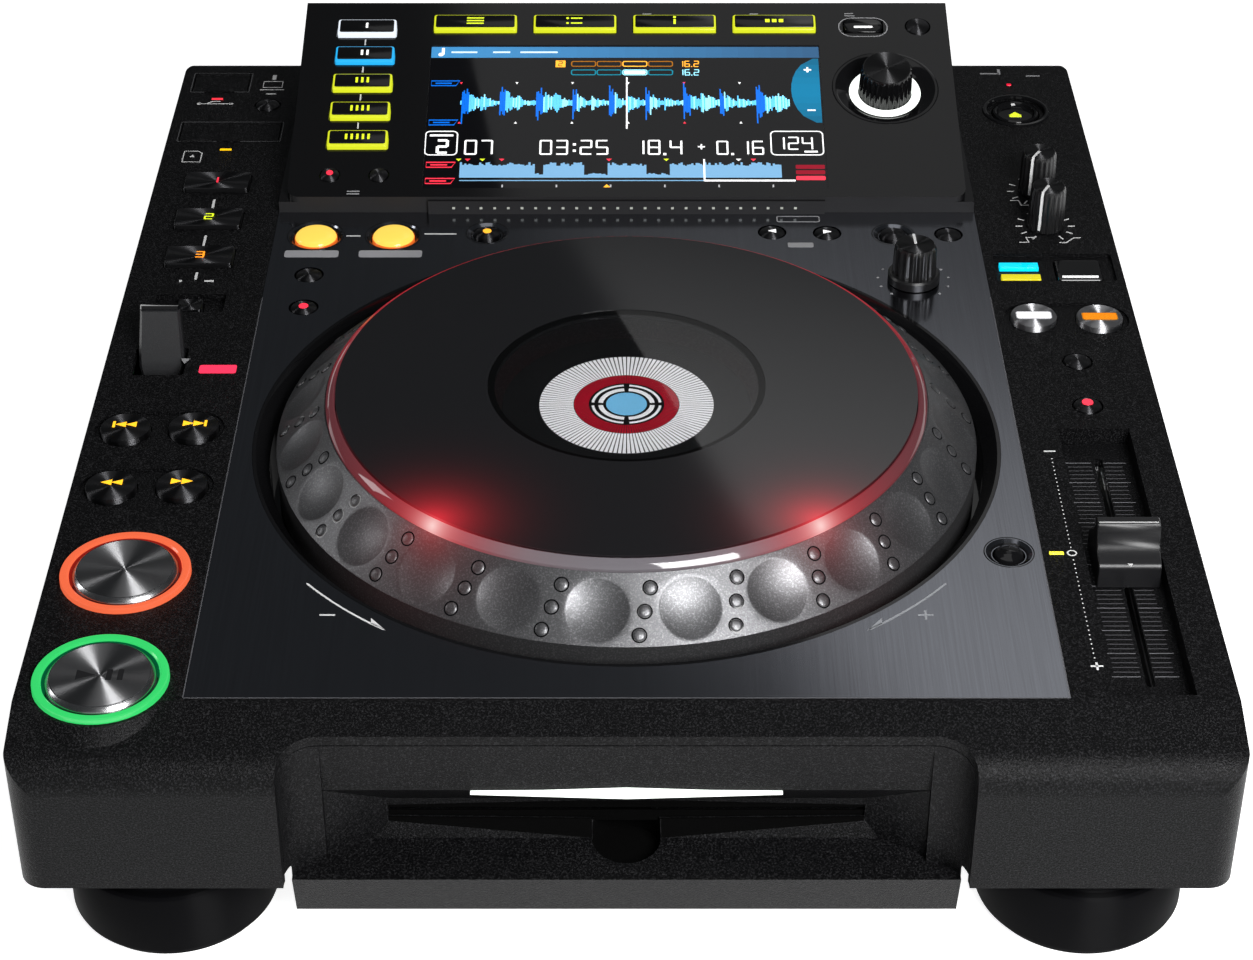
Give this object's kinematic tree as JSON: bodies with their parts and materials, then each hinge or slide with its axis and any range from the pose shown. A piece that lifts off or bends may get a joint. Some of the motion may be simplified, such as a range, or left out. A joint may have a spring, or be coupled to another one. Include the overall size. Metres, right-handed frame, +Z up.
{
  "type": "tabletop disc player",
  "caption": "Tabletop disc player for mixing: slot-in drive, large jog wheel, tilted colour display, tempo fader, lit cue and play buttons, round feet.",
  "frame": {"origin": "centre of the overall bounding box in plan, at the underside of the feet", "axes": "+X to the user's right, +Y from the front slot to the rear sockets, +Z up"},
  "size_m": [0.32, 0.398, 0.1063],
  "materials": {
    "cover": "fine-grained satin black moulding",
    "pan": "black powder coat",
    "plate": "dark hairline-brushed sheet under clear gloss",
    "housing": "black, polished face",
    "screen_glass": "clear cover over a lit colour screen",
    "gloss_black": "polished black",
    "cue_light": "lit orange-red ring",
    "play_light": "lit green ring",
    "white_light": "lit white lens",
    "lamp": "small lit lenses in red, amber and cyan",
    "foot": "turned and polished, faint rings",
    "board": "green circuit board",
    "steel": "plated sheet",
    "jog_screen": "lit round display with a red ring",
    "dial": "gunmetal satin with a fine sparkle",
    "ring_light": "clear ring lit red",
    "platter": "dark anodised, fine turned lines",
    "smoked_glass": "smoked window",
    "lever": "gunmetal satin",
    "spun_metal": "spun circular grain",
    "lit_key": "clear key with a lit rim and a black top",
    "amber_light": "lit amber dome",
    "rubber": "matt black rubber",
    "knob": "fluted black knob with a white line"
  },
  "bodies": {
    "root": {"top_cover": "cover", "bottom_case": "pan", "control_plate": "plate", "front_slot_panel": "cover", "slot_light_bar": "white_light", "display_housing": "housing", "display_window": "screen_glass", "lcd_module": "steel", "jog_well_ring": "gloss_black", "cue_ring_lens": "cue_light", "play_ring_lens": "play_light", "indicator_lenses": "lamp", "feet": "foot", "circuit_boards": "board", "drive_frame": "steel", "rear_terminal_panel": "pan", "jog_bearing_base": "steel", "jog_center_display": "jog_screen", "fader_unit": "steel", "case_screws": "steel"},
    "jog_wheel": {"jog_dial": "dial", "jog_light_ring": "ring_light"},
    "jog_platter": {"jog_top_plate": "platter", "jog_window": "smoked_glass"},
    "usb_door": {"usb_door": "cover"},
    "sd_door": {"sd_door": "cover"},
    "usb_stop_button": {"usb_stop_button": "gloss_black"},
    "hot_cue_key_1": {"hot_cue_key_1": "gloss_black"},
    "hot_cue_key_2": {"hot_cue_key_2": "gloss_black"},
    "hot_cue_key_3": {"hot_cue_key_3": "gloss_black"},
    "record_key": {"record_key": "gloss_black"},
    "track_search_back": {"track_search_back": "gloss_black"},
    "track_search_forward": {"track_search_forward": "gloss_black"},
    "search_back": {"search_back": "gloss_black"},
    "search_forward": {"search_forward": "gloss_black"},
    "cue_button": {"cue_button": "spun_metal"},
    "play_button": {"play_button": "spun_metal"},
    "source_keys": {"source_keys": "lit_key"},
    "menu_keys": {"menu_keys": "lit_key"},
    "display_small_keys": {"display_small_keys": "gloss_black"},
    "selector_shaft": {"selector_shaft": "steel"},
    "selector_knob": {"selector_knob": "knob"},
    "loop_in_out_buttons": {"loop_in_out_buttons": "amber_light"},
    "loop_mode_keys": {"loop_mode_keys": "gloss_black"},
    "call_memory_keys": {"call_memory_keys": "gloss_black"},
    "tempo_reset_button": {"tempo_reset_button": "gloss_black"},
    "eject_button": {"eject_button": "gloss_black"},
    "jog_mode_key": {"jog_mode_key": "gloss_black"},
    "sync_button": {"sync_button": "spun_metal"},
    "master_button": {"master_button": "spun_metal"},
    "tempo_mode_keys": {"tempo_mode_keys": "gloss_black"},
    "power_button": {"power_button": "gloss_black"},
    "direction_lever": {"direction_lever": "lever"},
    "touch_brake_knob": {"touch_brake_knob": "knob"},
    "release_start_knob": {"release_start_knob": "knob"},
    "jog_adjust_knob": {"jog_adjust_knob": "knob"},
    "tempo_fader_cap": {"tempo_fader_cap": "gloss_black"},
    "loading_roller": {"loading_roller": "rubber"},
    "disc_spindle": {"disc_spindle": "rubber"},
    "laser_pickup": {"laser_pickup": "pan"}
  },
  "joints": [
    {"name": "jog_turn", "type": "hinge", "parent": "root", "child": "jog_wheel", "pos_m": [0, -0.0524, 0.0753], "axis": [0, 0, 1], "continuous": true},
    {"name": "jog_touch", "type": "slide", "parent": "jog_wheel", "child": "jog_platter", "axis": [0, 0, -1], "range_m": [0, 0.0004], "stiffness_N_per_m": 12000},
    {"name": "usb_door_hinge", "type": "hinge", "parent": "root", "child": "usb_door", "pos_m": [-0.1458, 0.17965, 0.0743], "axis": [-1, 0, 0], "range_deg": [0, 100]},
    {"name": "sd_door_hinge", "type": "hinge", "parent": "root", "child": "sd_door", "pos_m": [-0.1384, 0.142, 0.0743], "axis": [-1, 0, 0], "range_deg": [0, 100]},
    {"name": "usb_stop_button_press", "type": "slide", "parent": "root", "child": "usb_stop_button", "axis": [0, 0, -1], "range_m": [0, 0.0005], "stiffness_N_per_m": 800},
    {"name": "hot_cue_key_1_press", "type": "slide", "parent": "root", "child": "hot_cue_key_1", "axis": [0, 0, -1], "range_m": [0, 0.0005], "stiffness_N_per_m": 800},
    {"name": "hot_cue_key_2_press", "type": "slide", "parent": "root", "child": "hot_cue_key_2", "axis": [0, 0, -1], "range_m": [0, 0.0005], "stiffness_N_per_m": 800},
    {"name": "hot_cue_key_3_press", "type": "slide", "parent": "root", "child": "hot_cue_key_3", "axis": [0, 0, -1], "range_m": [0, 0.0005], "stiffness_N_per_m": 800},
    {"name": "record_key_press", "type": "slide", "parent": "root", "child": "record_key", "axis": [0, 0, -1], "range_m": [0, 0.0005], "stiffness_N_per_m": 800},
    {"name": "track_search_back_press", "type": "slide", "parent": "root", "child": "track_search_back", "axis": [0, 0, -1], "range_m": [0, 0.0005], "stiffness_N_per_m": 800},
    {"name": "track_search_forward_press", "type": "slide", "parent": "root", "child": "track_search_forward", "axis": [0, 0, -1], "range_m": [0, 0.0005], "stiffness_N_per_m": 800},
    {"name": "search_back_press", "type": "slide", "parent": "root", "child": "search_back", "axis": [0, 0, -1], "range_m": [0, 0.0005], "stiffness_N_per_m": 800},
    {"name": "search_forward_press", "type": "slide", "parent": "root", "child": "search_forward", "axis": [0, 0, -1], "range_m": [0, 0.0005], "stiffness_N_per_m": 800},
    {"name": "cue_button_press", "type": "slide", "parent": "root", "child": "cue_button", "axis": [0, 0, -1], "range_m": [0, 0.0008], "stiffness_N_per_m": 1500},
    {"name": "play_button_press", "type": "slide", "parent": "root", "child": "play_button", "axis": [0, 0, -1], "range_m": [0, 0.0008], "stiffness_N_per_m": 1500},
    {"name": "source_keys_press", "type": "slide", "parent": "root", "child": "source_keys", "axis": [0, 0.2554, -0.9668], "range_m": [0, 0.0005], "stiffness_N_per_m": 800},
    {"name": "menu_keys_press", "type": "slide", "parent": "root", "child": "menu_keys", "axis": [0, 0.2554, -0.9668], "range_m": [0, 0.0005], "stiffness_N_per_m": 800},
    {"name": "display_small_keys_press", "type": "slide", "parent": "root", "child": "display_small_keys", "axis": [0, 0.2554, -0.9668], "range_m": [0, 0.0005], "stiffness_N_per_m": 800},
    {"name": "selector_press", "type": "slide", "parent": "root", "child": "selector_shaft", "axis": [0, 0.2554, -0.9668], "range_m": [0, 0.0005], "stiffness_N_per_m": 800},
    {"name": "selector_turn", "type": "hinge", "parent": "selector_shaft", "child": "selector_knob", "pos_m": [0.0891, 0.13102, 0.09492], "axis": [0, -0.2554, 0.9668], "continuous": true},
    {"name": "loop_in_out_buttons_press", "type": "slide", "parent": "root", "child": "loop_in_out_buttons", "axis": [0, 0, -1], "range_m": [0, 0.0005], "stiffness_N_per_m": 800},
    {"name": "loop_mode_keys_press", "type": "slide", "parent": "root", "child": "loop_mode_keys", "axis": [0, 0, -1], "range_m": [0, 0.0005], "stiffness_N_per_m": 800},
    {"name": "call_memory_keys_press", "type": "slide", "parent": "root", "child": "call_memory_keys", "axis": [0, 0, -1], "range_m": [0, 0.0005], "stiffness_N_per_m": 800},
    {"name": "tempo_reset_button_press", "type": "slide", "parent": "root", "child": "tempo_reset_button", "axis": [0, 0, -1], "range_m": [0, 0.0005], "stiffness_N_per_m": 800},
    {"name": "eject_button_press", "type": "slide", "parent": "root", "child": "eject_button", "axis": [0, 0, -1], "range_m": [0, 0.0005], "stiffness_N_per_m": 800},
    {"name": "jog_mode_key_press", "type": "slide", "parent": "root", "child": "jog_mode_key", "axis": [0, 0, -1], "range_m": [0, 0.0005], "stiffness_N_per_m": 800},
    {"name": "sync_button_press", "type": "slide", "parent": "root", "child": "sync_button", "axis": [0, 0, -1], "range_m": [0, 0.0005], "stiffness_N_per_m": 800},
    {"name": "master_button_press", "type": "slide", "parent": "root", "child": "master_button", "axis": [0, 0, -1], "range_m": [0, 0.0005], "stiffness_N_per_m": 800},
    {"name": "tempo_mode_keys_press", "type": "slide", "parent": "root", "child": "tempo_mode_keys", "axis": [0, 0, -1], "range_m": [0, 0.0005], "stiffness_N_per_m": 800},
    {"name": "power_button_press", "type": "slide", "parent": "root", "child": "power_button", "axis": [0, -1, 0], "range_m": [0, 0.002], "stiffness_N_per_m": 800},
    {"name": "direction_throw", "type": "hinge", "parent": "root", "child": "direction_lever", "pos_m": [-0.1433, -0.013, 0.0623], "axis": [1, 0, 0], "range_deg": [0, 44]},
    {"name": "touch_brake_turn", "type": "hinge", "parent": "root", "child": "touch_brake_knob", "pos_m": [0.1382, 0.0934, 0.0753], "axis": [0, 0, -1], "range_deg": [-150, 150]},
    {"name": "release_start_turn", "type": "hinge", "parent": "root", "child": "release_start_knob", "pos_m": [0.1385, 0.0699, 0.0753], "axis": [0, 0, -1], "range_deg": [-150, 150]},
    {"name": "jog_adjust_turn", "type": "hinge", "parent": "root", "child": "jog_adjust_knob", "pos_m": [0.0921, 0.0355, 0.0753], "axis": [0, 0, -1], "range_deg": [-150, 150]},
    {"name": "tempo_slide", "type": "slide", "parent": "root", "child": "tempo_fader_cap", "axis": [0, -1, 0], "range_m": [-0.05, 0.05]},
    {"name": "roller_spin", "type": "hinge", "parent": "root", "child": "loading_roller", "pos_m": [0, -0.163, 0.0313], "axis": [1, 0, 0], "continuous": true},
    {"name": "spindle_spin", "type": "hinge", "parent": "root", "child": "disc_spindle", "pos_m": [0, -0.099, 0.0375], "axis": [0, 0, 1], "continuous": true},
    {"name": "sledge_slide", "type": "slide", "parent": "root", "child": "laser_pickup", "axis": [0, 1, 0], "range_m": [0, 0.035]}
  ]
}
